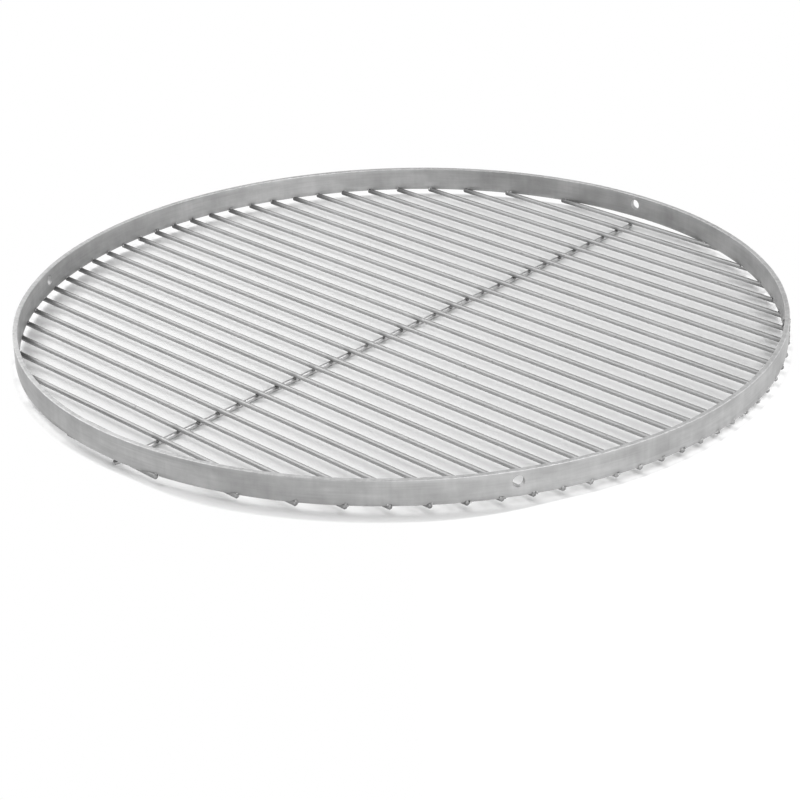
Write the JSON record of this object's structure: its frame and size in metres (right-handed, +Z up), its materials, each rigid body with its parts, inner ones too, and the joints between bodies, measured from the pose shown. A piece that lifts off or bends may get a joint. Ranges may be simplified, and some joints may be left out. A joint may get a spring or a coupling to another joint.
{
  "type": "hanging grill grate",
  "caption": "Round steel grill grate with a flat-bar rim, parallel round rods, one cross rod beneath and holes in the rim for hanging it over a fire.",
  "frame": {"origin": "centre of the rim, on the lowest plane of the grate, the underside of the cross rod", "axes": "+Z up out of the cooking side, +X along the grate rods, +Y across them towards the hanging hole that has no opposite hole"},
  "size_m": [0.6205, 0.62, 0.0268],
  "materials": {
    "flat_bar_steel": "mill finish flat bar, softly brushed, satin",
    "round_rod_steel": "drawn wire, satin with a narrow highlight, dark heat marks at the welds"
  },
  "bodies": {
    "root": {"rim_band": "flat_bar_steel", "grate_rod_01": "round_rod_steel", "grate_rod_02": "round_rod_steel", "grate_rod_03": "round_rod_steel", "grate_rod_04": "round_rod_steel", "grate_rod_05": "round_rod_steel", "grate_rod_06": "round_rod_steel", "grate_rod_07": "round_rod_steel", "grate_rod_08": "round_rod_steel", "grate_rod_09": "round_rod_steel", "grate_rod_10": "round_rod_steel", "grate_rod_11": "round_rod_steel", "grate_rod_12": "round_rod_steel", "grate_rod_13": "round_rod_steel", "grate_rod_14": "round_rod_steel", "grate_rod_15": "round_rod_steel", "grate_rod_16": "round_rod_steel", "grate_rod_17": "round_rod_steel", "grate_rod_18": "round_rod_steel", "grate_rod_19": "round_rod_steel", "grate_rod_20": "round_rod_steel", "grate_rod_21": "round_rod_steel", "grate_rod_22": "round_rod_steel", "grate_rod_23": "round_rod_steel", "grate_rod_24": "round_rod_steel", "grate_rod_25": "round_rod_steel", "grate_rod_26": "round_rod_steel", "grate_rod_27": "round_rod_steel", "grate_rod_28": "round_rod_steel", "grate_rod_29": "round_rod_steel", "grate_rod_30": "round_rod_steel", "grate_rod_31": "round_rod_steel", "cross_rod": "round_rod_steel"}
  },
  "joints": []
}
